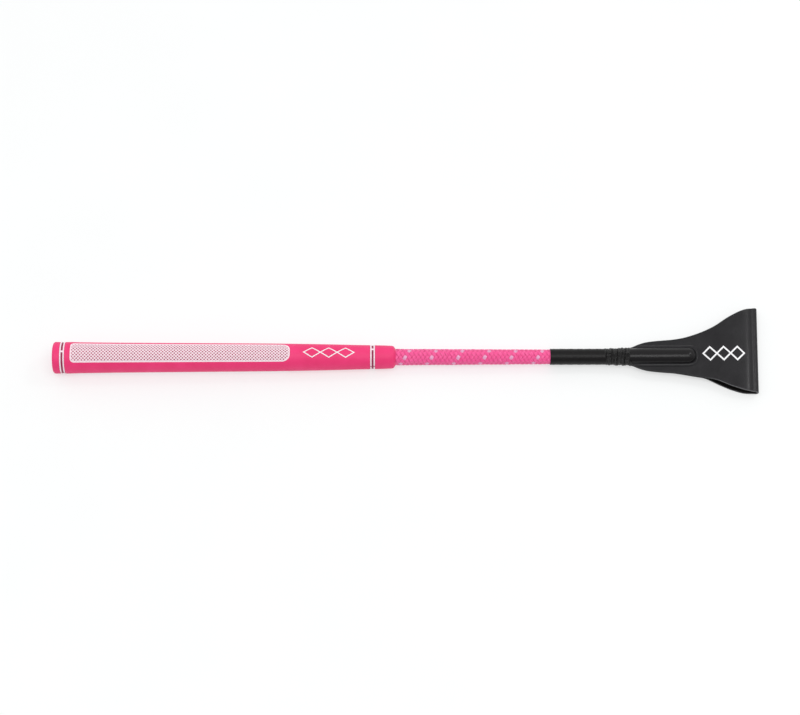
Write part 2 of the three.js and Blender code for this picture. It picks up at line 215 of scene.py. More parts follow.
def smooth_max(a, b, softness):
    return 0.5 * (a + b + np.sqrt((a - b) ** 2 + softness**2))


def skin(rows, columns, wrap_rows=False, first=0):
    """Quads over a grid of vertices, row by row. Each row closes on itself."""
    faces = []
    for i in range(rows if wrap_rows else rows - 1):
        for j in range(columns):
            a, b = i * columns, (i + 1) % rows * columns
            k = (j + 1) % columns
            faces.append((first + a + j, first + a + k, first + b + k, first + b + j))
    return faces


def rounded_bar(width, low, high, bevel):
    """A bar's section: flat sides down to low, rounded corners at high."""
    half = width / 2
    corner = [(bevel * math.sin(a), bevel * math.cos(a)) for a in np.linspace(0, math.pi / 2, 4)]
    right = [(half - bevel + s, high - bevel + c) for s, c in corner] + [(half, low)]
    return [(-s, u) for s, u in right] + [(s, u) for s, u in reversed(right)]


def about_axis(x, radius, angle):
    """Points about the shaft's axis. Angles run from the top towards +Y."""
    return np.stack([x + 0 * angle, radius * np.sin(angle), radius * np.cos(angle)], axis=-1)


def on_grip(x, angle, offset):
    """Points at a height over the grip's surface."""
    return about_axis(x, grip_radius(x) + offset, angle)


def unit(vectors):
    return vectors / np.linalg.norm(vectors, axis=1)[:, None]


def directions(path):
    """Unit vectors along a path."""
    return unit(np.gradient(path, axis=0))


def turn_grid(profile, count):
    """Station, radius and angle of each point of a profile turned about the axis."""
    x, radius = (np.repeat(column, count) for column in np.array(profile).T)
    angle = np.tile(np.linspace(0, math.tau, count, endpoint=False), len(profile))
    faces = [f[::-1] for f in skin(len(profile), count, wrap_rows=True)]
    return x, radius, angle, faces


class Bars:
    """Swept bars gathered into one mesh."""

    def __init__(self):
        self.rows, self.faces, self.count = [], [], 0

    def add(self, centres, sides, ups, section):
        """A bar along centres. section holds (side, up) offsets, anticlockwise seen from ahead."""
        section = np.asarray(section, float)
        points = (
            centres[:, None, :]
            + sides[:, None, :] * section[None, :, 0, None]
            + ups[:, None, :] * section[None, :, 1, None]
        )
        rows, columns = points.shape[:2]
        first, last = self.count, self.count + (rows - 1) * columns
        self.faces += skin(rows, columns, first=first)
        self.faces.append(tuple(first + i for i in reversed(range(columns))))
        self.faces.append(tuple(last + i for i in range(columns)))
        self.rows.append(points.reshape(-1, 3))
        self.count += rows * columns

    def make(self, name, material, **rest):
        return make(name, np.vstack(self.rows), self.faces, material, **rest)


def add_object(name, data):
    """A new object in the scene."""
    thing = bpy.data.objects.new(name, data)
    bpy.context.scene.collection.objects.link(thing)
    return thing


def make(name, points, faces, material, body="crop", slot=None, replaces=(), uv=None, sharp=50):
    """A smooth-shaded piece in the row frame, riding on its body. uv gives each vertex two
    numbers for the material."""
    mesh = bpy.data.meshes.new(name)
    mesh.from_pydata(carry(points).tolist(), [], faces)
    mesh.materials.append(material)
    mesh.polygons.foreach_set("use_smooth", [True] * len(mesh.polygons))
    mesh.set_sharp_from_angle(angle=math.radians(sharp))
    if uv is not None:
        corners = np.zeros(len(mesh.loops), int)
        mesh.loops.foreach_get("vertex_index", corners)
        layer = mesh.uv_layers.new(name="strip")
        layer.data.foreach_set("uv", np.asarray(uv, np.float32)[corners].ravel())
    piece = add_object(name, mesh)
    if body:
        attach(piece, body)
    if replaces:
        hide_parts(*replaces)
    return piece


def mark(piece, name, values):
    """A number for each vertex, which the material reads by name."""
    attribute = piece.data.attributes.new(name, "FLOAT", "POINT")
    attribute.data.foreach_set("value", np.asarray(values, np.float32))


grip_radius = smooth_curve(GRIP_TAPER)


# ---- Materials ----


def rgb(red, green, blue):
    """A colour in 0-255 display values, as the linear colour that the shader takes."""
    out = []
    for value in (red, green, blue):
        value /= 255
        out.append(value / 12.92 if value <= 0.04045 else ((value + 0.055) / 1.055) ** 2.4)
    return (*out, 1.0)


class Finish:
    """A material with one Principled shader and short ways to add nodes to it."""

    def __init__(self, name, roughness, **sockets):
        self.material = bpy.data.materials.new(name)
        self.material.use_nodes = True
        self.tree = self.material.node_tree
        self.shader = self.tree.nodes["Principled BSDF"]
        self.shader.inputs["Roughness"].default_value = roughness
        for socket, value in sockets.items():
            self.shader.inputs[socket.replace("_", " ")].default_value = value

    def node(self, kind, **values):
        """A node. A value that is a socket is linked; a plain one is set."""
        node = self.tree.nodes.new("ShaderNode" + kind)
        for key, value in values.items():
            if key[0].islower():
                setattr(node, key, value)
                continue
            self.feed(node.inputs[key.replace("_", " ")], value)
        return node

    def feed(self, socket, value):
        if isinstance(value, bpy.types.NodeSocket):
            self.tree.links.new(value, socket)
        else:
            socket.default_value = value

    def position(self, scale=(1, 1, 1)):
        """Place in the row frame, in millimetres over scale."""
        place = self.node("TexCoord").outputs["Object"]
        factor = tuple(s / MM for s in scale)
        return self.node("Mapping", Vector=place, Scale=factor).outputs[0]

    def strip(self, scale):
        """The piece's own two numbers, times scale."""
        place = self.node("UVMap", uv_map="strip").outputs[0]
        return self.node("Mapping", Vector=place, Scale=(*scale, 1)).outputs[0]

    def noise(self, vector, scale, detail=3, roughness=0.55):
        return self.node(
            "TexNoise", Vector=vector, Scale=scale, Detail=detail, Roughness=roughness
        ).outputs[0]

    def ramp(self, factor, *stops):
        """Colours at places along 0-1, as a socket."""
        node = self.node("ValToRGB", Fac=factor)
        elements = node.color_ramp.elements
        while len(elements) < len(stops):
            elements.new(0.5)
        for element, (place, colour) in zip(elements, stops):
            element.position = place
            element.color = colour
        return node.outputs[0]

    def mixed(self, factor, a, b):
        node = self.node("Mix", data_type="RGBA")
        for index, value in ((0, factor), (6, a), (7, b)):
            self.feed(node.inputs[index], value)
        return node.outputs[2]

    def ranged(self, value, low, high):
        return self.node("MapRange", Value=value, To_Min=low, To_Max=high).outputs[0]

    def attribute(self, name):
        """A number that mark() gave each vertex."""
        return self.node("Attribute", attribute_name=name).outputs["Fac"]

    def colour(self, value):
        self.tree.links.new(value, self.shader.inputs["Base Color"])

    def rough(self, value, low, high):
        self.tree.links.new(self.ranged(value, low, high), self.shader.inputs["Roughness"])

    def bumped(self, *layers):
        """Height layers as (socket, depth in millimetres), one over the other."""
        below = {}
        for height, depth in layers:
            bump = self.node("Bump", Height=height, Distance=depth * MM, Strength=1.0, **below)
            below = {"Normal": bump.outputs[0]}
        self.feed(self.shader.inputs["Normal"], below["Normal"])


def pink_rubber():
    f = Finish("pink_rubber", 0.5, Specular_IOR_Level=0.3)
    place = f.position()
    cloud = f.noise(place, 0.06, 4)
    grain = f.noise(place, 3.2, 3)
    skin_tone = f.ramp(
        cloud, (0.3, rgb(229, 50, 110)), (0.55, rgb(236, 55, 117)), (0.75, rgb(241, 62, 125))
    )
    # painted shade: the ring channels and panel recesses are painted a darker pink
    recess_shade = f.attribute("recess_shade")
    f.colour(f.mixed(recess_shade, skin_tone, rgb(146, 42, 76)))
    f.rough(f.noise(place, 0.35, 5), 0.42, 0.6)
    f.bumped((cloud, 0.12), (grain, 0.018))
    return f.material


def white_inlay():
    """White on the lands; in the pits the pink of the rubber below, made darker with depth by
    painted shade. Its mark is 0 on top and 1 at the bottom of a pit.
    """
    f = Finish("white_inlay", 0.5, Specular_IOR_Level=0.4)
    place = f.position()
    dust = f.noise(place, 0.8, 4)
    pink_and_pit_shade = f.attribute("pink_and_pit_shade")
    land = f.ramp(dust, (0.3, rgb(251, 231, 240)), (0.7, rgb(255, 244, 249)))
    # painted shade: the pits go from a pink tint near the top to a dusky pink with painted shade at
    # the floor
    f.colour(f.mixed(pink_and_pit_shade, land, rgb(196, 94, 126)))
    f.bumped((f.noise(place, 4.0, 3), 0.015))
    return f.material


def white_print():
    f = Finish("white_print", 0.5, Specular_IOR_Level=0.4)
    paleness = f.noise(f.position(), 1.4, 4)
    f.colour(f.ramp(paleness, (0.3, rgb(226, 226, 228)), (0.6, rgb(248, 248, 249))))
    f.bumped((f.noise(f.position(), 4.0, 3), 0.01))
    return f.material


def braid_nylon():
    """Parallel filaments along each strand: the strip's numbers are length and width."""
    f = Finish("braid_nylon", 0.42, Sheen_Weight=0.1, Specular_IOR_Level=0.38)
    fibres = f.noise(f.strip((0.16, 26.0)), 1.0, 4, 0.6)
    patches = f.noise(f.position(), 0.5, 3)
    base = f.ramp(
        fibres, (0.25, rgb(222, 64, 132)), (0.5, rgb(245, 84, 152)), (0.78, rgb(255, 144, 194))
    )
    base = f.mixed(f.ranged(patches, 0.0, 0.3), base, rgb(240, 68, 138))
    # painted shade: the strands are painted darker where they dive under and towards their flanks
    weave_shade = f.attribute("weave_shade")
    f.colour(f.mixed(weave_shade, base, rgb(186, 22, 86)))
    f.rough(fibres, 0.58, 0.4)
    f.bumped((fibres, 0.07))
    return f.material


def tracer_tinsel():
    """The tracer strand: paler than the rest, with small painted glints."""
    f = Finish("tracer_tinsel", 0.4, Metallic=0.1, Specular_IOR_Level=0.5)
    fibres = f.noise(f.strip((0.2, 24.0)), 1.0, 4, 0.6)
    glints = f.noise(f.position(), 2.4, 4)
    # painted glints: paler spots mixed into the colour where the noise peaks
    glinting = f.ramp(glints, (0.42, (0, 0, 0, 1)), (0.62, (1, 1, 1, 1)))
    base = f.ramp(fibres, (0.3, rgb(222, 116, 172)), (0.7, rgb(240, 160, 202)))
    f.colour(f.mixed(glinting, base, rgb(228, 184, 212)))
    f.rough(glints, 0.5, 0.3)
    f.bumped((fibres, 0.05))
    return f.material


def black_sleeve():
    f = Finish("black_sleeve", 0.3, Specular_IOR_Level=0.22)
    place = f.position()
    streaks = f.noise(f.position((0.05, 1, 1)), 1.1, 4)
    f.colour(f.ramp(f.noise(place, 0.5, 3), (0.3, rgb(10, 8, 9)), (0.7, rgb(17, 15, 16))))
    f.rough(streaks, 0.3, 0.48)
    f.bumped((streaks, 0.05), (f.noise(place, 2.2, 3), 0.01))
    return f.material


def black_thread():
    """Waxed thread, its plies showing as slanting bands along its length."""
    f = Finish("black_thread", 0.26, Specular_IOR_Level=0.3)
    turn = f.strip((1.1, 1.0))
    plies = f.node(
        "TexWave", Vector=turn, Scale=1.6, bands_direction="DIAGONAL", Distortion=0.4
    ).outputs["Fac"]
    lint_and_glints = f.noise(f.position(), 3.0, 4)
    # pale lint flecks and painted glints: the noise's peaks are painted near white
    f.colour(f.ramp(lint_and_glints, (0.4, rgb(2, 2, 2)), (0.6, rgb(8, 7, 8)), (0.72, rgb(112, 110, 111))))
    f.rough(lint_and_glints, 0.18, 0.36)
    f.bumped((plies, 0.12), (lint_and_glints, 0.14))
    return f.material


def black_leather():
    """Smooth finished leather: a fine pebble grain, soft clouds, and edges made paler by a painted
    highlight.
    The strip's numbers are millimetres along and across the strap; 'edge' is 1 on its rim,
    'inside' is 1 on the flesh side and 'burnish' is 1 on the bulge, which moulding polished."""
    f = Finish(
        "black_leather", 0.38, Specular_IOR_Level=0.24, Coat_Weight=0.06, Coat_Roughness=0.16
    )
    sheet = f.strip((1.0, 1.0))
    pebble = f.node("TexVoronoi", Vector=sheet, Scale=1.5, Randomness=1.0).outputs["Distance"]
    pores = f.noise(sheet, 2.6, 4)
    cloud = f.noise(sheet, 0.09, 4)
    edge = f.attribute("edge")
    inside = f.attribute("inside")
    burnish = f.attribute("burnish")
    face = f.ramp(cloud, (0.3, rgb(20, 19, 22)), (0.7, rgb(29, 28, 31)))
    flesh = f.ramp(pores, (0.3, rgb(13, 12, 12)), (0.7, rgb(26, 25, 24)))
    # painted highlight: the cut edges and the rim beside them are painted paler
    edge_highlight = f.mixed(edge, face, rgb(90, 90, 93))
    polished = f.mixed(burnish, edge_highlight, rgb(15, 13, 15))
    f.colour(f.mixed(inside, polished, flesh))
    f.rough(cloud, f.ranged(burnish, 0.32, 0.18), f.ranged(burnish, 0.45, 0.22))
    f.bumped((pebble, 0.05), (pores, 0.03), (cloud, 0.25))
    return f.material


def plain_finish(name, dark, light, roughness, scale, stretch=(1, 1, 1), depth=0.03):
    """Two close colours and a bump from one noise, for the pieces inside."""
    f = Finish(name, roughness)
    cloud = f.noise(f.position(stretch), scale, 4)
    f.colour(f.ramp(cloud, (0.3, dark), (0.7, light)))
    f.rough(cloud, roughness - 0.08, roughness + 0.08)
    f.bumped((cloud, depth))
    return f.material


rubber = pink_rubber()
white = white_inlay()
print_white = white_print()
nylon = braid_nylon()
# painted shade: a dark pink sheet under the braid stands in for the shade in its gaps
gap_shade_nylon = plain_finish("braid_gap_shade", rgb(188, 24, 84), rgb(206, 36, 100), 0.8, 2.0)
tinsel = tracer_tinsel()
sleeve_black = black_sleeve()
thread_black = black_thread()
leather_black = black_leather()

YARN = (rgb(206, 198, 184), rgb(236, 230, 220))
HIDDEN_FINISHES = {
    "fibreglass_rod": plain_finish(
        "fibreglass", rgb(196, 188, 158), rgb(222, 216, 192), 0.3, 2.0, (0.02, 1, 1)
    ),
    "handle_former": plain_finish("former_plastic", rgb(48, 48, 50), rgb(64, 64, 66), 0.5, 0.8),
    "butt_plug": plain_finish("plug_rubber", rgb(34, 34, 36), rgb(48, 48, 50), 0.6, 1.2),
    "grip_tape": plain_finish("grip_tape", rgb(204, 184, 138), rgb(226, 210, 170), 0.7, 1.5),
    "shaft_padding": plain_finish("padding_yarn", *YARN, 0.85, 3.0, (0.2, 1, 1), 0.1),
    "rear_braid_binding": plain_finish(
        "binding_thread", rgb(24, 24, 25), rgb(46, 45, 47), 0.5, 3.0, (1, 0.2, 0.2), 0.08
    ),
    "tip_padding": plain_finish("tip_yarn", *YARN, 0.85, 3.0, (1, 0.2, 0.2), 0.1),
    "tip_cap": plain_finish("cap_nylon", rgb(176, 176, 174), rgb(200, 200, 198), 0.4, 1.0),
}
for node, finish in HIDDEN_FINISHES.items():
    frame["nodes"][node].data.materials.clear()
    frame["nodes"][node].data.materials.append(finish)


# ---- Grip ----


def panel_place(x, arc, inset):
    """The nearest place inside the panel's rounded outline, shrunk by inset. arc is the
    distance round the grip from the panel's centre line, at PANEL_RADIUS."""
    low, high = PANEL["start"] + inset, PANEL["end"] - inset
    half = PANEL["half"] * PANEL_RADIUS - inset
    x, arc = np.clip(x, low, high), np.clip(arc, -half, half)
    for end, corner, way in ((low, PANEL["rear"], 1), (high, PANEL["fore"], -1)):
        radius = max(corner - inset, 0.1)
        over_x = np.maximum(way * (end - x) + radius, 0)
        over_arc = np.maximum(np.abs(arc) - half + radius, 0)
        reach = np.hypot(over_x, over_arc)
        shrink = np.where(
            (over_x > 0) & (over_arc > 0) & (reach > radius), radius / np.maximum(reach, 1e-9), 1
        )
        x = np.where(shrink < 1, end + way * (radius - over_x * shrink), x)
        arc = np.where(shrink < 1, np.sign(arc) * (half - radius + over_arc * shrink), arc)
    return x, arc


def grip_profile():
    """The rubber's section as (station, radius): the butt's face and corner, the outside
    with its ring channels, the mouth and the bore."""
    channels = [
        (at - RING_WIDTH / 2 - CHANNEL_PLAY, at + RING_SPACING + RING_WIDTH / 2 + CHANNEL_PLAY)
        for at, _ in RING_PAIRS.values()
    ]
    stations = np.arange(*GRIP_STATIONS, 1.0)
    for low, high in channels:
        stations = stations[(stations < low - 0.3) | (stations > high + 0.3)]
    outside = [(x, float(grip_radius(x))) for x in stations]
    for low, high in channels:
        top, floor = float(grip_radius(low)), float(grip_radius(low)) - RING_DEPTH
        outside += [(low - 0.25, top), (low - 0.06, top - 0.05), (low, top - 0.2), (low, floor)]
        outside += [(high, floor), (high, top - 0.2), (high + 0.06, top - 0.05), (high + 0.25, top)]
    outside.sort(key=lambda point: point[0])  # points of one station keep their order
    bend = BUTT_ROUND["radius"]
    corner = [
        (bend - bend * math.cos(a), BUTT_ROUND["from"] + bend * math.sin(a))
        for a in np.linspace(0, math.pi / 2, 9)
    ]
    return BUTT_FACE + corner + outside + GRIP_MOUTH


def make_grip():
    """The rubber: a turned shell, with channels for the rings, recesses for the panels and
    a faint moulding line down each side."""
    x, radius, turn, faces = turn_grid(grip_profile(), GRIP_TURN)
    surface = grip_radius(np.clip(x, GRIP_TAPER[0][0], GRIP_TAPER[-1][0]))
    is_outside = (radius > surface - 0.01) & (x > GRIP_TAPER[0][0])
    for centre in (0, math.pi):
        arc = (np.mod(turn - centre + math.pi, math.tau) - math.pi) * PANEL_RADIUS
        px, parc = panel_place(x, arc, BORDER_WIDTH / 2)
        inside = is_outside & (np.hypot(px - x, parc - arc) < 1e-6)
        radius = np.where(inside, radius - NET_DEPTH - RECESS_SPARE, radius)
    for side in (math.pi / 2, 3 * math.pi / 2):
        off_line = (turn - side) * radius / MOULD_LINE["width"]
        line = MOULD_LINE["height"] * np.exp(-(off_line**2))
        radius = np.where(is_outside, radius + line, radius)
    points = about_axis(x, radius, turn)
    grip = make("grip", points, faces, rubber, slot="grip_rubber", replaces=["rubber_grip"])
    # painted shade: mark the rubber that lies sunk below the surface
    recess_shade = (radius < surface - SUNK_BELOW) & (x > 4) & (x < GRIP_TAPER[-1][0])
    mark(grip, "recess_shade", recess_shade.astype(float))


def net_of_pits():
    """A rotated square lattice of bevelled pits, laid flat: the stations, arcs, heights and
    pink-and-painted-shade numbers of its points, and its faces."""
    around = np.linspace(0, math.tau, 16, endpoint=False)
    diamond = 1 / (np.abs(np.cos(around)) + np.abs(np.sin(around)))
    hole = NET_HOLE * (0.7 * diamond + 0.3 * 0.78)  # a diamond with rounded corners
    rings = [  # share of the cell, added width, height, pink and painted shade
        (diamond, 0.0, 0.06, 0.14),
        (hole, 0.10, 0.06, 0.18),
        (hole, 0.02, 0.0, 0.35),
        (hole * 0.96, 0.0, -0.25, 0.85),
        (hole * 0.86, 0.0, -NET_DEPTH, 1.0),
    ]
    points, faces, first = [], [], 0
    columns = int((PANEL["end"] - PANEL["start"]) / NET_PITCH * 2) + 2
    rows_each_side = int(PANEL["half"] * PANEL_RADIUS / NET_PITCH * 2) + 1
    for i in range(columns):
        for j in range(-rows_each_side, rows_each_side + 1):
            if (i + j) % 2:
                continue
            x, arc = PANEL["start"] + i * NET_PITCH / 2, j * NET_PITCH / 2
            for share, added, height, pink_and_pit_shade in rings:
                reach = share * NET_PITCH / 2 + added
                place = x + reach * np.cos(around), arc + reach * np.sin(around)
                points.append((*place, 0 * around + height, 0 * around + pink_and_pit_shade))
            faces += skin(len(rings), len(around), first=first)
            floor = first + (len(rings) - 1) * len(around)
            faces.append(tuple(floor + k for k in range(len(around))))
            first += len(rings) * len(around)
    return *np.concatenate(points, axis=1), faces


def panel_border(centre):
    """The raised rim round the net, as rows of points across it."""
    path = np.array(outline_of_panel(BORDER_WIDTH / 2))
    ahead = unit(np.roll(path, -1, axis=0) - np.roll(path, 1, axis=0))
    outward = np.stack([ahead[:, 1], -ahead[:, 0]], axis=1)
    rows = []
    for offset, rise in rounded_bar(BORDER_WIDTH, -NET_DEPTH - 0.1, 0.12, 0.16):
        x, arc = (path + outward * offset).T
        rows.append(on_grip(x, centre + arc / PANEL_RADIUS, rise))
    return np.stack(rows, axis=1)


def make_panel(name, node, centre):
    """The white net in its raised border, bent round the grip."""
    x, arc, height, pink_and_pit_shade, faces = net_of_pits()
    x, arc = panel_place(x, arc, NET_MARGIN)
    net = on_grip(x, centre + arc / PANEL_RADIUS, height)
    border = panel_border(centre)
    faces += skin(*border.shape[:2], wrap_rows=True, first=len(net))
    points = np.vstack([net, border.reshape(-1, 3)])
    piece = make(name, points, faces, white, slot="white_inlay", replaces=[node], sharp=60)
    # the net's pits carry painted shade; the border only the pink tint
    mark(piece, "pink_and_pit_shade", np.concatenate([pink_and_pit_shade, np.full(len(points) - len(net), INLAY_TINT)]))


def outline_of_panel(inset, step=0.8):
    """Points round the panel's outline, shrunk by inset, with arcs at its corners."""
    low, high = PANEL["start"] + inset, PANEL["end"] - inset
    half = PANEL["half"] * PANEL_RADIUS - inset
    rear, fore = PANEL["rear"] - inset, PANEL["fore"] - inset
    corners = [
        (high - fore, half - fore, fore, 0),
        (low + rear, half - rear, rear, 90),
        (low + rear, rear - half, rear, 180),
        (high - fore, fore - half, fore, 270),
    ]
    points = []
    for k, (cx, carc, radius, start) in enumerate(corners):
        for degrees in np.linspace(start, start + 90, 10):
            a = math.radians(degrees)
            points.append((cx + radius * math.cos(a), carc + radius * math.sin(a)))
        nx, narc, nradius, nstart = corners[(k + 1) % 4]
        a = math.radians(nstart)
        target = np.array([nx + nradius * math.cos(a), narc + nradius * math.sin(a)])
        here = np.array(points[-1])
        count = int(np.linalg.norm(target - here) / step)
        points += [tuple(here + (target - here) * (i / count)) for i in range(1, count)]
    return points


def make_ring_pair(node, at, bridge):
    """Two white rings with a bridge between them. Both are cut once, away from the bridge."""
    radius = float(grip_radius(at))
    section = rounded_bar(RING_WIDTH, 0.02 - RING_DEPTH, 0.07, 0.15)
    cut = bridge - CUT_AFTER_BRIDGE
    gap = CUT_WIDTH / 2 / radius
    turn = np.linspace(cut + gap, cut + math.tau - gap, 200)
    ups = about_axis(0, 1, turn)
    along = np.tile([1.0, 0, 0], (len(turn), 1))
    bars = Bars()
    for x in (at, at + RING_SPACING):
        bars.add(ups * radius + [x, 0, 0], -along, ups, section)
    reach = RING_SPACING / 2 - RING_WIDTH / 2 + 0.2
    middle = at + RING_SPACING / 2
    up = np.array([0, math.sin(bridge), math.cos(bridge)])
    side = np.array([0, math.cos(bridge), -math.sin(bridge)])
    xs = np.linspace(middle - reach, middle + reach, 4)
    centres = up * radius + np.outer(xs, [1, 0, 0])
    section = rounded_bar(BRIDGE_WIDTH, 0.02 - RING_DEPTH, 0.05, 0.15)
    bars.add(centres, np.tile(side, (4, 1)), np.tile(up, (4, 1)), section)
    piece = bars.make(node + "_moulded", white, slot="white_inlay", replaces=[node])
    mark(piece, "pink_and_pit_shade", np.full(bars.count, INLAY_TINT))


make_grip()
make_panel("net_panel_top", "grip_panel_top", 0.0)
make_panel("net_panel_under", "grip_panel_under", math.pi)
for pair, (at, bridge) in RING_PAIRS.items():
    make_ring_pair(pair, at, bridge)


# ---- Braided shaft ----


def braid_radius(x):
    return np.interp(x, (GRIP_END, span("shrink_sleeve")[0]), BRAID_RADII)


def strand(way, index, low, high, proud):
    """One strand of a plain braid: a flat band on a helix that weaves over and under."""
    x = np.arange(low, high, 0.3)
    start, tracer_turn = TRACER_AT
    phase = math.tau * (x - start) / BRAID_PITCH
    angle = tracer_turn + way * phase + math.tau * index / BRAID_STRANDS
    wave = way * np.cos(2 * BRAID_STRANDS * math.pi * (x - start) / BRAID_PITCH)
    rng = np.random.default_rng(STRAND_SEED + 10 * way + index)
    places = np.arange(low, high + 2, STRAND_SLACK["every"])
    slack = np.interp(x, places, rng.normal(0, 1, len(places)))
    angle = angle + STRAND_SLACK["turn"] * slack
    lift = proud + STRAND_SLACK["lift"] * slack - STRAND_WAVE - STRAND_THICKNESS / 2
    radius = braid_radius(x) + lift + STRAND_WAVE * wave
    centres = about_axis(x, radius, angle)
    ups = about_axis(0, 1, angle)
    sides = unit(np.cross(ups, directions(centres)))
    return centres, sides, ups, x, 0.5 - 0.5 * wave


def strand_section(width, thickness, count=14, squareness=0.62):
    """A flattened round section; 1 makes it an ellipse, less makes it squarer."""
    angle = np.linspace(-math.pi / 2, 1.5 * math.pi, count, endpoint=False)
    c, s = np.cos(angle), np.sin(angle)
    side = width / 2 * np.sign(c) * np.abs(c) ** squareness
    up = thickness / 2 * np.sign(s) * np.abs(s) ** squareness
    return np.column_stack([side, up])


def strip_numbers(length, section):
    """The two numbers of each point of a bar: how far along it, and how far round it."""
    across = np.tile(np.arange(len(section)) / len(section), len(length))
    return np.stack([np.repeat(length, len(section)), across], axis=1)


def make_strands(name, members, low, high, material, replaces):
    """Some strands of the braid as one piece. members are (way, index) pairs."""
    bars, uv, weave_shade = Bars(), [], []
    for way, index in members:
        width, proud = TRACER if name == "braid_tracer" else BRAID_WAYS[way]
        section = strand_section(width, STRAND_THICKNESS)
        centres, sides, ups, x, under = strand(way, index, low, high, proud)
        bars.add(centres, sides, ups, section)
        own_start = 400 * index + 3000 * way  # so that no two strands look alike
        uv.append(strip_numbers(x * STRAND_STRETCH + own_start, section))
        # painted shade, deepest where the strand dives under the other strands and at its flanks
        flank = np.abs(section[:, 0]) / (width / 2)
        shade = 0.5 * smoothstep(under, 0.3, 0.9)[:, None] + 0.45 * smoothstep(flank, 0.78, 1)
        weave_shade.append(np.clip(shade, 0, 1).ravel())
    rest = {"uv": np.vstack(uv), "sharp": 80, "replaces": replaces}
    piece = bars.make(name, material, slot="braid_nylon", **rest)
    mark(piece, "weave_shade", np.concatenate(weave_shade))


def make_braid():
    """Six strands each way, one of them the tracer, over a dark pink sheet of painted shade that
    shows through the gaps.
    """
    low, high = GRIP_END - 6, span("shrink_sleeve")[0] + 5
    strands = [(way, index) for way in (1, -1) for index in range(BRAID_STRANDS)]
    make_strands("braid_strands", strands[1:], low, high, nylon, ["braided_cover"])
    make_strands("braid_tracer", strands[:1], low, high, tinsel, ())
    # the sheet of painted shade under the strands
    x = np.linspace(low, high, 40)
    shade_sheet = np.stack([x, braid_radius(x) - GAP_SHADE_DEPTH], axis=1)
    bore = shade_sheet[[-1, 0]] - [0, 0.05]
    turned("braid_gap_shade", shade_sheet.tolist() + bore.tolist(), 48, gap_shade_nylon, slot="braid_nylon")


def turned(name, profile, count, material, **rest):
    """A piece turned about the axis from a closed profile of (station, radius) points."""
    x, radius, angle, faces = turn_grid(profile, count)
    make(name, about_axis(x, radius, angle), faces, material, **rest)


def make_sleeve():
    """Heat-shrunk tube: a clean cut end, and a skin that shows a little of the braid below."""
    low, high = span("shrink_sleeve")
    low -= 0.5
    high += 2.0  # its end is under the thread
    x = np.linspace(low + 0.35, high, 90)
    shrink = 0.05 * np.sin(x * 0.9) * smoothstep(x, low, low + 8) + 0.03 * np.sin(x * 2.3 + 1)
    tuck = 0.5 * smoothstep(x, high - 1.2, high)
    outside = np.stack([x, SLEEVE_RADIUS + shrink - tuck - 0.03], axis=1).tolist()
    lip = [(0.02, SLEEVE_RADIUS - 0.3), (0, SLEEVE_RADIUS - 0.15), (0.12, SLEEVE_RADIUS)]
    bore = [(high, SLEEVE_RADIUS - 0.9), (low + 0.02, SLEEVE_RADIUS - 0.38)]
    profile = [(low + x, radius) for x, radius in lip] + outside + bore
    turned("sleeve", profile, 96, sleeve_black, slot="black_sleeve", replaces=["shrink_sleeve"])


def wound_thread(rng, start, end, lift, advance):
    """The middle of a thread wound from start to end: its points, and its turning angle."""
    swell = smooth_curve(WHIPPING_SWELL)
    turns = (end - start) / advance
    angle = np.arange(0, turns * math.tau, math.tau / 72)
    per_turn = rng.normal(0, 1, int(turns * 3) + 6)
    wobble = np.interp(angle / math.tau * 3, np.arange(len(per_turn)), per_turn)
    x = start + angle / math.tau * advance + THREAD_WOBBLE["along"] * wobble
    radius = THREAD_BORE + THREAD_THICKNESS / 2 + lift + swell(x) + THREAD_WOBBLE["out"] * wobble
    return about_axis(x, radius, angle), angle


def make_whipping():
    """Waxed thread, wound turn beside turn, with a few turns riding over the others and one
    loose end laid along the shaft."""
    rng = np.random.default_rng(THREAD_SEED)
    section = strand_section(THREAD_WIDTH, THREAD_THICKNESS, 12, 0.9)
    bars, uv = Bars(), []
    for layer in THREAD_LAYERS:
        centres, angle = wound_thread(rng, *layer)
        ups = about_axis(0, 1, angle)
        bars.add(centres, np.cross(ups, directions(centres)), ups, section)
        uv.append(strip_numbers(angle * THREAD_BORE, section))

    start, end, turn = THREAD_END
    x = np.linspace(start, end, 12)
    radius = THREAD_BORE + THREAD_THICKNESS * 1.35 - 0.5 * smoothstep(x, end - 1.5, end)
    ups = about_axis(0, 1, np.full(len(x), turn))
    sides = np.cross(ups, np.tile([1.0, 0, 0], (len(x), 1)))
    bars.add(about_axis(x, radius, turn), sides, ups, section * 0.8)
    uv.append(np.zeros((len(x) * len(section), 2)))
    rest = {"uv": np.vstack(uv), "sharp": 80, "replaces": ["neck_whipping"]}
    bars.make("whipping", thread_black, slot="black_thread", **rest)


make_braid()
make_sleeve()
make_whipping()


# ---- Leather flap ----

flap_half_width = smooth_curve(FLAP_HALF_WIDTHS)
table_height = float(-butt_centre.z / MM / shaft_up.z)  # of the table under the butt


def table_z(x):
    """The table's height under a station of the shaft, in the shaft's frame."""
    return table_height - x * shaft_axis.z / shaft_up.z


def bezier(a, b, c, d, count):
    t = np.linspace(0, 1, count, endpoint=False)[:, None]
    a, b, c, d = (np.array(p, float) for p in (a, b, c, d))
    return a * (1 - t) ** 3 + 3 * b * t * (1 - t) ** 2 + 3 * c * t**2 * (1 - t) + d * t**3


def upper_line(start, pressed, end, top):
    """The upper leaf's middle: up from the pocket to its flat top, then down to the fold."""
    rear, fore, crown = UPPER_CROWN["from"], UPPER_CROWN["to"], UPPER_CROWN["height"]
    return [
        bezier((start, pressed), (start + 6, pressed), (505, crown), (rear, crown), 30),
        bezier((rear, crown), (fore, crown), (end - 2.2, top + 1.1), (end, top + 0.3), 24),
        [(end, top + 0.3), (end + 1.1, top + 0.1)],
    ]


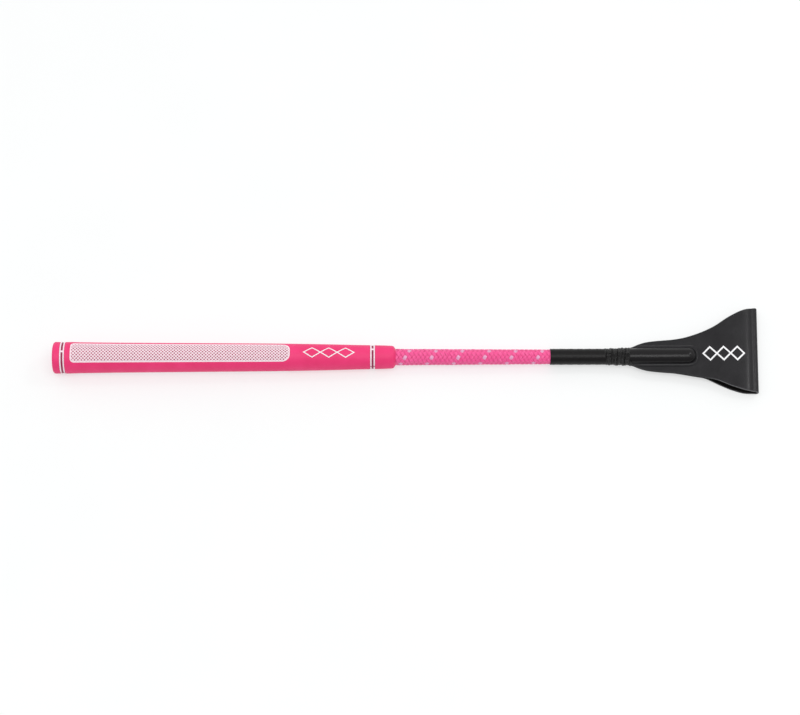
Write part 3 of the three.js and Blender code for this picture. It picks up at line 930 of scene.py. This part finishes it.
def lower_line(start, pressed, end, bottom):
    """The lower leaf's middle: down from the pocket, flat on the table, up to the fold."""
    near, far = REST_PATCH
    ease_in, ease_out = REST_EASE
    at_rest = {x: table_z(x) + LEATHER / 2 for x in (ease_in, near, far, ease_out)}
    touch, leave = (near, at_rest[near]), (far, at_rest[far])
    down, up = (ease_in, at_rest[ease_in]), (ease_out, at_rest[ease_out])
    return [
        bezier((start, -pressed), (start + 5, -pressed), down, touch, 30),
        np.linspace(touch, leave, 16, endpoint=False),
        bezier(leave, up, (end - 3, bottom - 1.15), (end, bottom - 0.35), 18),
        [(end, bottom - 0.35)],
    ]


def strip_path():
    """The middle of the leather seen from the side, as (station, height): out along the
    upper leaf, round the fold and back along the lower leaf."""
    pressed = GLUE_HALF + LEATHER / 2
    tab, _ = span("flap_pocket_upper")
    start = HINGE + 1
    fold_x = FOLD_X - FOLD_RADIUS - LEATHER / 2
    end = fold_x - 2.2
    top, bottom = FOLD_CENTRE_Z + FOLD_RADIUS, FOLD_CENTRE_Z - FOLD_RADIUS
    # from, to and step: closer stations where the leather's shape changes fast
    stretches = [(tab, 433.5, 1.5), (433.5, 449, 0.5), (449, 477.5, 1.1), (477.5, start, 0.5)]
    root = np.concatenate([np.arange(*stretch) for stretch in stretches])
    upper = np.stack([root, np.full(len(root), pressed)], axis=1)
    turn = np.linspace(math.pi / 2, -math.pi / 2, 15)
    fold_z = FOLD_CENTRE_Z + FOLD_RADIUS * np.sin(turn)
    fold = np.column_stack([fold_x + FOLD_RADIUS * np.cos(turn), fold_z])
    return np.vstack(
        [
            upper,
            *upper_line(start, pressed, end, top),
            fold,
            [(end + 1.1, bottom - 0.12)],
            np.vstack(lower_line(start, pressed, end, bottom))[::-1],
            (upper * [1, -1])[::-1],
        ]
    )


def pocket_rise(x, y, radius, flange):
    """How far the leather stands above the flange face over the tip of the shaft, and how
    far a place is from the tip's middle, where 1 is the tip's own outline."""
    low, high = POCKET_NOSE
    nose = np.clip((x - low) / (high - low), 0, None)
    reach = np.abs(y / radius) ** NOSE_SQUARENESS + nose**NOSE_SQUARENESS
    reach = reach ** (1 / NOSE_SQUARENESS)
    dome = radius * np.sqrt(np.clip(1 - reach**2, 0, 1))
    return smooth_max(dome - flange, 0 * dome, 0.3), reach


def strap_sizes(x):
    """The strap's half width, and its bulge's outer and inner radii, at a station."""
    spread = float(smoothstep(x, *NECK))
    swell = NECK_SWELL * float(smoothstep(x, NECK[0] - 0.6, NECK[0] + 1.6))
    outer = TAB_RADIUS + swell + (POCKET_RADIUS - TAB_RADIUS - NECK_SWELL) * spread
    thick = TAB_LEATHER + (LEATHER - TAB_LEATHER) * spread
    return max(float(flap_half_width(x)), outer + 0.1), outer, outer - thick


def strap_lifts(x, y, outer, inner, facing):
    """How far the two faces of the strap stand off a flat one: the moulded bulge, the line
    pressed round it, the gathers at its neck and the slight warp of the upper leaf."""
    rise_out, reach = pocket_rise(x, y, outer, GLUE_HALF + LEATHER)
    rise_in, _ = pocket_rise(x, y, inner, GLUE_HALF)
    if x >= HINGE:
        rise_out, rise_in = 0 * y, 0 * y
    off_line = (reach - 1) * outer - PRESSED_LINE["off"]
    groove = np.exp(-((off_line / PRESSED_LINE["width"]) ** 2)) * smoothstep(x, 441, 449)
    fading = math.exp(-max(x - NECK[0], 0) / GATHER["fade"])
    gather = fading * np.cos(y * GATHER["waves"] + 0.6)
    gather = GATHER["height"] * gather * smoothstep(np.abs(y), outer - 1.5, outer + 1)
    warp = np.sin(x * 0.11 + y * 0.07) + 0.7 * np.sin(x * 0.05 - y * 0.13 + 1)
    free = WARP_HEIGHT if facing > 0 else 0.0
    warp = free * warp * smoothstep(x, *WARP_ZONE[:2]) * (1 - smoothstep(x, *WARP_ZONE[2:]))
    return rise_out - PRESSED_LINE["depth"] * groove + gather + warp, rise_in + warp


def strap_drift(x):
    """How far the middle of the strap has wandered towards +Y at a station."""
    return FLAP_DRIFT * float(smoothstep(x, FLAP_DRIFT_START, FOLD_X))


def strap_place(x, z, normal, y, lift):
    """A place on the strap, with the sideways drift of its axis and the skew of its fold."""
    px, pz = x + normal[0] * lift, z + normal[1] * lift
    py = y + strap_drift(x)
    skew = FOLD_SKEW * py * smoothstep(px, HINGE, FOLD_X)
    return np.stack([px + skew, py, pz + 0 * py], axis=1)


def strap_line():
    """The strap's middle line with its normals and its running length."""
    path = strip_path()
    ahead = directions(path)
    normal = np.stack([-ahead[:, 1], ahead[:, 0]], axis=1)
    steps = np.linalg.norm(np.diff(path, axis=0), axis=1)
    return path, normal, np.concatenate([[0], np.cumsum(steps)])


STRAP_ACROSS = 121  # points across each face
ROUND_EDGE = np.linspace(0, math.pi, 5)[1:-1]  # angles of the points round its cut edge
EDGE_HIGHLIGHT_ZONE = (490, 512)  # the edges' painted highlight grows between these stations
BURNISH_LIFT = (0.4, 2.2)  # leather raised more than this is polished
POCKET_NODES = ["flap_pocket_upper", "flap_pocket_lower"]
LEAF_NODES = ["flap_upper_leaf", "flap_fold", "flap_lower_leaf"]


def spread_across(x, half, outer):
    """Places across the strap, evenly spaced along its curved outer face."""
    fine = np.linspace(-half, half, 1201)
    rise, _ = pocket_rise(x, fine, outer, GLUE_HALF + LEATHER)
    measure = np.concatenate([[0], np.cumsum(np.hypot(np.diff(fine), np.diff(rise)))])
    return np.interp(np.linspace(0, measure[-1], STRAP_ACROSS), measure, fine)


def strap_ring(x, half, lift_out, lift_in, y):
    """The places across and the lifts of one ring of points round the strap's section, from
    its outer face round an edge to its inner face and back, and the points' marks."""
    thickness = LEATHER / 2
    edge_up, edge_out = thickness * np.cos(ROUND_EDGE), 0.28 * np.sin(ROUND_EDGE)
    across = np.concatenate([y, half + edge_out, y[::-1], -half - edge_out[::-1]])
    lift = np.concatenate([thickness + lift_out, edge_up, lift_in[::-1] - thickness, edge_up[::-1]])
    # painted highlight: the edges are painted paler from the hinge on
    paleness = float(smoothstep(x, *EDGE_HIGHLIGHT_ZONE))
    rim = 0.4 * paleness * smoothstep(np.abs(y), half - 0.5, half - 0.1)
    ends = np.full(len(ROUND_EDGE), paleness)
    moulded = smoothstep(lift_out, *BURNISH_LIFT)
    marks = {
        "edge": np.concatenate([rim, ends, 0 * rim, ends]),
        "inside": np.concatenate([0 * y, 0 * ends, 0 * y + 1, 0 * ends]),
        "burnish": np.concatenate([moulded, 0 * ends, 0 * moulded, 0 * ends]),
    }
    return across, lift, marks


def strap_ends(rows, columns):
    """Quads that close the strap's two cut ends, between its outer and its inner face."""
    last_inside = 2 * STRAP_ACROSS + len(ROUND_EDGE) - 1
    faces = []
    for base, step in ((0, 1), ((rows - 1) * columns, -1)):
        for k in range(STRAP_ACROSS - 1):
            below = base + last_inside - k
            faces.append((base + k, base + k + 1, below - 1, below)[::step])
    return faces


def make_flap():
    """One strap of leather: bound round the shaft, moulded over its tip on both sides, and
    folded over at the far end."""
    rows, uvs, marked = [], [], []
    for (x, z), normal, length in zip(*strap_line()):
        half, outer, inner = strap_sizes(x)
        y = spread_across(x, half, outer)
        lift_out, lift_in = strap_lifts(x, y, outer, inner, np.sign(normal[1]))
        across, lift, marks = strap_ring(x, half, lift_out, lift_in, y)
        rows.append(strap_place(x, z, normal, across, lift))
        marked.append(marks)
        own_side = across + 200 * marks["inside"]  # so that the two faces look unlike
        uvs.append(np.stack([np.full(len(across), length), own_side], axis=1))
    columns = len(rows[0])
    faces = [f[::-1] for f in skin(len(rows), columns)] + strap_ends(len(rows), columns)
    rest = {"uv": np.vstack(uvs), "sharp": 70, "replaces": POCKET_NODES + LEAF_NODES}
    points, slot = np.vstack(rows), "black_leather"
    piece = make("flap_leather", points, faces, leather_black, body=None, slot=slot, **rest)
    for name in ("edge", "inside", "burnish"):
        mark(piece, name, np.concatenate([marks[name] for marks in marked]))
    flex(piece)


def flex(piece):
    """Bakes the placing of a piece of the flap into its mesh."""
    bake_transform(piece)


# ---- Printed marks ----

LOZENGES = 3  # in each mark
GRIP_MARK = {"from": 190, "to": 228, "half": 3.9, "stroke": 0.72, "turn": math.radians(-1)}
FLAP_MARK = {"from": 494, "to": 525, "half": 5.4, "stroke": 1.2, "side": 1.9}
MARK_HEIGHT = 0.06
MARK_STEP = 0.012  # where two lozenges cross, one lies this much over the other
MARK_RAILS = 7  # across a stroke


def lozenge_chain(low, high, half, stroke):
    """Outlined lozenges whose tips cross, each a ring of rails: (station, side, lift)."""
    reach = (high - low) / LOZENGES / 2
    offset = stroke / 2 * math.hypot(reach, half) / (reach * half)
    corners = np.array([(1, 0), (0, 1), (-1, 0), (0, -1), (1, 0)], float)
    steps = np.linspace(0, 1, 14, endpoint=False)
    outline = np.vstack([a + np.outer(steps, b - a) for a, b in zip(corners, corners[1:])])
    widths = np.linspace(1 - offset, 1 + offset, MARK_RAILS)
    rails = [(s, MARK_HEIGHT) for s in widths] + [(s, -MARK_HEIGHT) for s in widths[::-1]]
    places, faces = [], []
    for k in range(LOZENGES):
        middle = low + reach * (2 * k + 1)
        over = MARK_STEP * (k % 2)
        ring = []
        for s, up in rails:
            level = np.full(len(outline), up + over)
            across = outline * [reach * s, half * s] + [middle, 0]
            ring.append(np.column_stack([across, level]))
        first = k * len(outline) * len(rails)
        faces += skin(len(outline), len(rails), wrap_rows=True, first=first)
        places.append(np.stack(ring, axis=1).reshape(-1, 3))
    return np.vstack(places), faces


def make_marks():
    """A chain of lozenges in white on the grip, and the same on the flap."""
    m = GRIP_MARK
    places, faces = lozenge_chain(m["from"], m["to"], m["half"], m["stroke"])
    x, side, lift = places.T
    points = on_grip(x, m["turn"] + side / grip_radius(x), lift)
    make("grip_mark", points, faces, print_white, slot="white_inlay")

    m = FLAP_MARK
    places, faces = lozenge_chain(m["from"], m["to"], m["half"], m["stroke"])
    path, normals, _ = strap_line()
    upper = slice(0, int(np.argmax(path[:, 0] > 530)))
    points = []
    for x, side, lift in places:
        z = np.interp(x, path[upper, 0], path[upper, 1])
        normal = [np.interp(x, path[upper, 0], normals[upper, k]) for k in (0, 1)]
        _, outer, inner = strap_sizes(x)
        y = np.array([m["side"] + side - strap_drift(x)])
        lift_out, _ = strap_lifts(x, y, outer, inner, 1)
        points.append(strap_place(x, z, normal, y, LEATHER / 2 + lift_out + lift)[0])
    piece = make("flap_mark", np.array(points), faces, print_white, body=None, slot="white_inlay")
    flex(piece)


make_flap()
make_marks()


# ---- Table, light and camera ----

CAMERA_ELEVATION = math.radians(66)
CAMERA_TURN = math.radians(-0.36)
CAMERA_DISTANCE = 1.69
CAMERA_LENS = 100
CAMERA_STATION = 263  # the station of the shaft that the camera looks at
CAMERA_SIDE = -0.3
CAMERA_SENSOR = 36

TABLE_SIZE = 4.0  # metres each way from the middle
TABLE_TOP = -0.0001  # metres; just under the lower net's border
TABLE_GLOW = 0.565  # painted glow: the table gives off light of its own, as a sheet lit from below would
ROOM_STRENGTH = 0.86
ROOM_TOWARDS = (0, 0.75, 0.66)  # the room is bright on this side
ROOM_FADE = (-0.25, 0.4)
ROOM_SHADES = (0.52, 1.0)  # of its dim side and its bright side
KEY_LIGHT = {"place": (0.05, -0.6, 2.6), "size": (2.4, 1.0), "power": 22}
SIDE_LIGHT = {"place": (0.93, 0.5, 1.2), "size": (0.12, 0.2), "power": 1.9}


def make_table():
    """A pale sheet that glows a little, so that only soft shadows are left."""
    mesh = bpy.data.meshes.new("table")
    signs = ((-1, -1), (1, -1), (1, 1), (-1, 1))
    corners = [(x * TABLE_SIZE, y * TABLE_SIZE, TABLE_TOP) for x, y in signs]
    mesh.from_pydata(corners, [], [(0, 1, 2, 3)])
    f = Finish("table_white", 0.85, Specular_IOR_Level=0.2)
    cloud = f.noise(f.position(), 0.01, 2)
    # a shade less red than grey, which takes out some of the pink light that the grip throws on the
    # sheet
    f.colour(f.ramp(cloud, (0.3, (0.39, 0.40, 0.40, 1)), (0.7, (0.40, 0.41, 0.41, 1))))
    f.shader.inputs["Emission Color"].default_value = (1, 1, 1, 1)
    f.shader.inputs["Emission Strength"].default_value = TABLE_GLOW
    mesh.materials.append(f.material)
    table = add_object("table", mesh)


def area_light(name, place, size, power):
    data = bpy.data.lights.new(name, "AREA")
    data.shape = "RECTANGLE"
    data.size, data.size_y = size
    data.energy = power
    light = add_object(name, data)
    light.location = place
    light.rotation_euler = (-Vector(place)).to_track_quat("-Z", "Y").to_euler()


def make_camera():
    data = bpy.data.cameras.new("camera")
    data.lens = CAMERA_LENS
    data.sensor_width = CAMERA_SENSOR
    camera = add_object("camera", data)
    target = Vector(carry([(CAMERA_STATION, CAMERA_SIDE, 0)])[0])
    back = Vector((0, -math.cos(CAMERA_ELEVATION), math.sin(CAMERA_ELEVATION)))
    back = Matrix.Rotation(CAMERA_TURN, 3, "Z") @ back
    camera.location = target + back * CAMERA_DISTANCE
    camera.rotation_mode = "QUATERNION"
    camera.rotation_quaternion = (-back).to_track_quat("-Z", "Y")
    bpy.context.scene.camera = camera


def make_light():
    """A white room, dimmer low down on the near side, with a large soft light and a small one."""
    world = bpy.data.worlds.new("studio")
    world.use_nodes = True
    tree = world.node_tree
    background = tree.nodes["Background"]
    background.inputs["Strength"].default_value = ROOM_STRENGTH
    place = tree.nodes.new("ShaderNodeTexCoord")
    lean = tree.nodes.new("ShaderNodeVectorMath")
    lean.operation = "DOT_PRODUCT"
    lean.inputs[1].default_value = ROOM_TOWARDS
    room = tree.nodes.new("ShaderNodeMapRange")
    room.inputs["From Min"].default_value, room.inputs["From Max"].default_value = ROOM_FADE
    room.inputs["To Min"].default_value, room.inputs["To Max"].default_value = ROOM_SHADES
    tree.links.new(place.outputs["Generated"], lean.inputs[0])
    tree.links.new(lean.outputs["Value"], room.inputs["Value"])
    tree.links.new(room.outputs[0], background.inputs["Color"])
    bpy.context.scene.world = world
    area_light("key", **KEY_LIGHT)
    area_light("side", **SIDE_LIGHT)


make_table()
make_light()
make_camera()
bpy.context.scene.view_settings.view_transform = "Standard"
